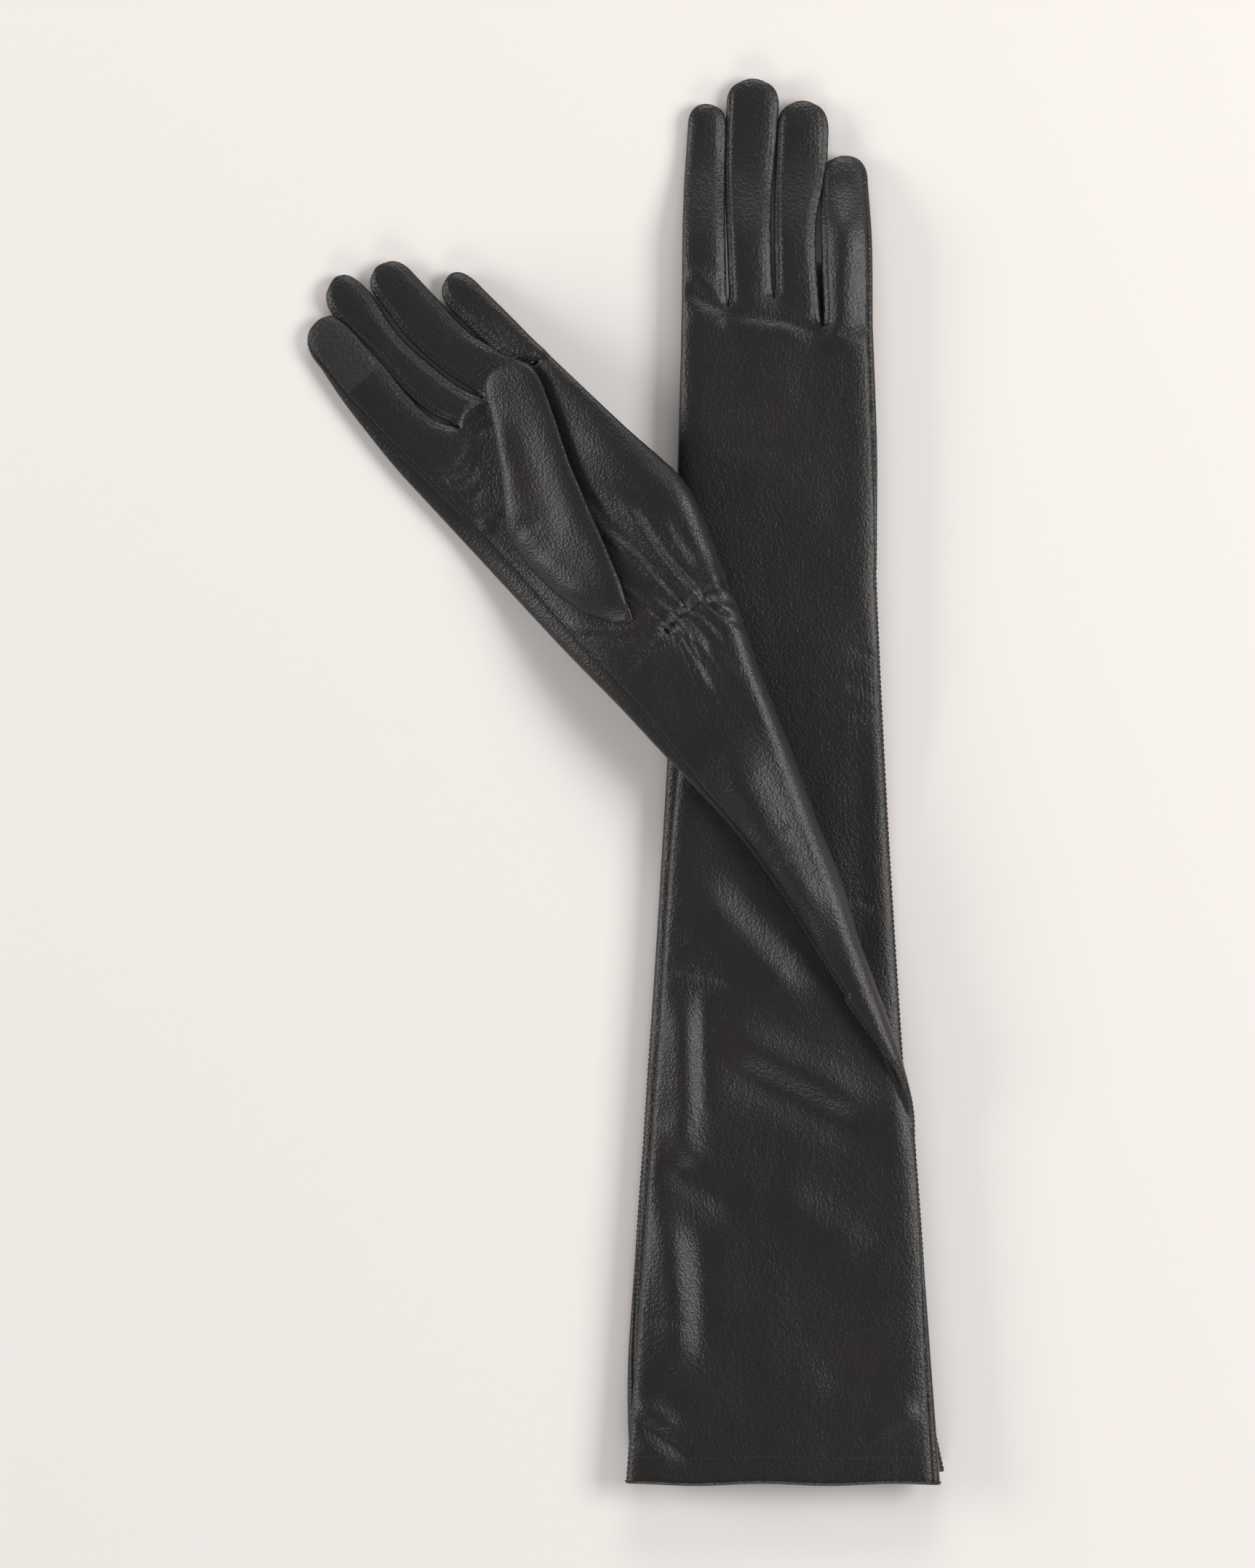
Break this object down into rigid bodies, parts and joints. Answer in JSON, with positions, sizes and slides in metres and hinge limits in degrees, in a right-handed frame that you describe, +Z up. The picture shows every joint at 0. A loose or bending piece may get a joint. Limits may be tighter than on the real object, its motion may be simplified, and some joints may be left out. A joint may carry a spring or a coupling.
{
  "type": "opera gloves",
  "caption": "Pair of long black leather dress gloves lying flat, the left one folded over the right one, with thumbs, fourchettes, linings and turned hems.",
  "frame": {"origin": "centre of the pair's outline on the surface that it lies on", "axes": "+Y towards the right glove's fingertips, +X towards its little finger, +Z up from the surface"},
  "size_m": [0.2747, 0.6004, 0.0377],
  "materials": {
    "black_nappa": "smooth nappa, satin",
    "touch_leather": "grained, satin",
    "knitted_lining": "fine knit, matt",
    "sewing_thread": "polyester thread, slight sheen",
    "black_elastic": "woven elastic, matt"
  },
  "bodies": {
    "right_glove": {"right_back_panel": "black_nappa", "right_palm_panel": "black_nappa", "right_thumb_seam": "sewing_thread", "right_fourchette_index_middle": "black_nappa", "right_fourchette_middle_ring": "black_nappa", "right_fourchette_ring_pinky": "black_nappa", "right_touch_tip": "touch_leather", "right_lining": "knitted_lining", "right_hem": "black_nappa", "right_hem_stitching": "sewing_thread", "right_wrist_elastic": "black_elastic", "right_index_side_seam": "sewing_thread", "right_pinky_side_seam": "sewing_thread", "right_finger_seams": "sewing_thread"},
    "right_thumb": {"right_thumb": "black_nappa"},
    "left_glove": {"left_back_panel": "black_nappa", "left_palm_panel": "black_nappa", "left_thumb_seam": "sewing_thread", "left_fourchette_index_middle": "black_nappa", "left_fourchette_middle_ring": "black_nappa", "left_fourchette_ring_pinky": "black_nappa", "left_touch_tip": "touch_leather", "left_lining": "knitted_lining", "left_hem": "black_nappa", "left_hem_stitching": "sewing_thread", "left_wrist_elastic": "black_elastic", "left_index_side_seam": "sewing_thread", "left_pinky_side_seam": "sewing_thread", "left_finger_seams": "sewing_thread"},
    "left_thumb": {"left_thumb": "black_nappa"}
  },
  "joints": [
    {"name": "left_glove_lift", "type": "slide", "parent": "right_glove", "child": "left_glove", "axis": [0, 0, 1], "range_m": [0, 0.15]},
    {"name": "left_thumb_lift", "type": "hinge", "parent": "left_glove", "child": "left_thumb", "pos_m": [-0.00336, 0.06756, 0.03043], "axis": [0.9079, 0.3377, 0.2483], "range_deg": [0, 50]},
    {"name": "right_thumb_swing", "type": "hinge", "parent": "right_glove", "child": "right_thumb", "pos_m": [0.048, 0.1052, 0.0028], "axis": [0, 0, 1], "range_deg": [0, 40]}
  ]
}
